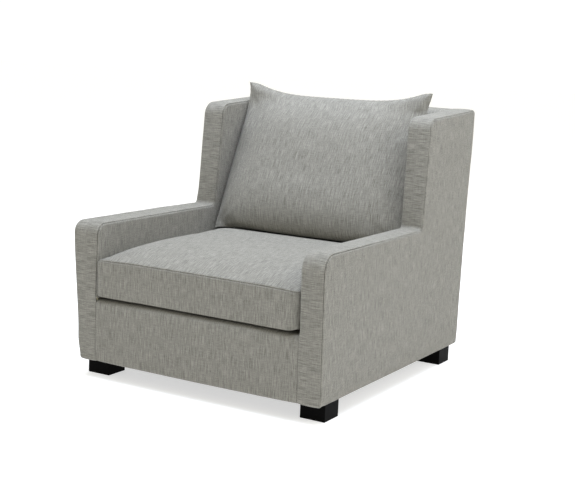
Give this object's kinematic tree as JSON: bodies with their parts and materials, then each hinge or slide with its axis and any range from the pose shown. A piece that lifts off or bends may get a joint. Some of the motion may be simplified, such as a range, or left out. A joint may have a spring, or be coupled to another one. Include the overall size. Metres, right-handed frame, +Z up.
{
  "type": "upholstered armchair",
  "caption": "Low-winged track-arm armchair with a loose boxed seat cushion, a loose knife-edge back cushion and square block feet.",
  "frame": {"origin": "on the floor, under the middle of the frame's width and depth", "axes": "+Z up, the front faces -Y, +X is the chair's right-hand side seen from in front"},
  "size_m": [0.92, 1.07, 0.955],
  "materials": {
    "cover_cloth": "matte",
    "black_wood": "satin",
    "bare_timber": "matte",
    "foam": "matte",
    "fibreboard": "matte",
    "spring_steel": "satin",
    "webbing_cloth": "matte",
    "lining_cloth": "matte",
    "zip_metal": "satin"
  },
  "bodies": {
    "frame": {"back_pad": "foam", "back_rail": "bare_timber", "back_top_pad": "foam", "back_web_1": "webbing_cloth", "back_web_2": "webbing_cloth", "deck_cover": "lining_cloth", "deck_pad": "foam", "dust_cover": "lining_cloth", "front_cover": "cover_cloth", "front_pad": "foam", "front_rail": "bare_timber", "inside_back_cover": "cover_cloth", "left_arm_border_pad": "foam", "left_arm_pad": "foam", "left_arm_rail": "bare_timber", "left_back_post": "bare_timber", "left_boxing_strip": "cover_cloth", "left_front_corner_block": "bare_timber", "left_front_foot": "black_wood", "left_front_post": "bare_timber", "left_inside_cover": "cover_cloth", "left_outer_board": "fibreboard", "left_outside_cover": "cover_cloth", "left_rear_corner_block": "bare_timber", "left_rear_foot": "black_wood", "left_side_rail": "bare_timber", "left_wing_border_pad": "foam", "left_wing_frame": "bare_timber", "left_wing_pad": "foam", "lower_back_rail": "bare_timber", "outside_back_cover": "cover_cloth", "right_arm_border_pad": "foam", "right_arm_pad": "foam", "right_arm_rail": "bare_timber", "right_back_post": "bare_timber", "right_boxing_strip": "cover_cloth", "right_front_corner_block": "bare_timber", "right_front_foot": "black_wood", "right_front_post": "bare_timber", "right_inside_cover": "cover_cloth", "right_outer_board": "fibreboard", "right_outside_cover": "cover_cloth", "right_rear_corner_block": "bare_timber", "right_rear_foot": "black_wood", "right_side_rail": "bare_timber", "right_wing_border_pad": "foam", "right_wing_frame": "bare_timber", "right_wing_pad": "foam", "seat_spring_1": "spring_steel", "seat_spring_2": "spring_steel", "seat_spring_3": "spring_steel", "seat_spring_4": "spring_steel", "seat_spring_5": "spring_steel", "top_back_rail": "bare_timber"},
    "seat": {"seat_cushion": "cover_cloth", "seat_zip": "lining_cloth"},
    "seat_slider": {"seat_zip_slider": "zip_metal"},
    "pillow": {"back_cushion": "cover_cloth", "back_zip": "lining_cloth"},
    "pillow_slider": {"back_zip_slider": "zip_metal"}
  },
  "joints": [
    {"name": "seat_pull_out", "type": "slide", "parent": "frame", "child": "seat", "axis": [0, -1, 0], "range_m": [0, 0.9]},
    {"name": "pillow_lift", "type": "slide", "parent": "frame", "child": "pillow", "axis": [0, 0, 1], "range_m": [0, 0.5]},
    {"name": "seat_zip_slide", "type": "slide", "parent": "seat", "child": "seat_slider", "axis": [-1, 0, 0], "range_m": [0, 0.52]},
    {"name": "pillow_zip_slide", "type": "slide", "parent": "pillow", "child": "pillow_slider", "axis": [-1, 0, 0], "range_m": [0, 0.52]}
  ]
}
